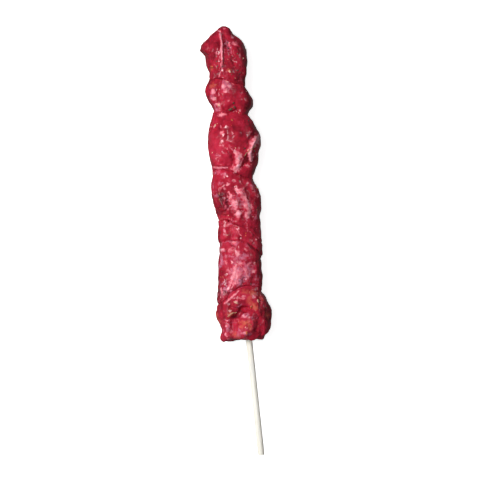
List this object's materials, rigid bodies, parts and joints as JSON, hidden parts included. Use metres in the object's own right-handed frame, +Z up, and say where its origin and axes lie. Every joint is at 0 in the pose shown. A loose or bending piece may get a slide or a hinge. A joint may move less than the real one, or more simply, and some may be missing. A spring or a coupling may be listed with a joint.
{
  "type": "beef kebab skewer",
  "caption": "Raw marinated beef pieces threaded on a round pointed wooden stick with a bare handle end, lying flat, ready for the grill.",
  "frame": {"origin": "on the surface it lies on, under the middle of the whole skewer's box", "axes": "+Y along the stick from the bare handle end to the point, +Z up, +X to the right seen from above with the point away from the viewer"},
  "size_m": [0.0371, 0.2538, 0.0249],
  "materials": {
    "beef": "raw marinated beef, wet and glossy, with pale marbling and herb flecks",
    "wood": "bare pale wood, fine straight grain"
  },
  "bodies": {
    "root": {"wooden_stick": "wood", "beef_1_folded_end": "beef", "beef_2_long": "beef", "beef_3_wedge": "beef", "beef_4_streaked": "beef", "beef_5_round": "beef", "beef_6_short": "beef", "beef_7_pointed_end": "beef"}
  },
  "joints": []
}
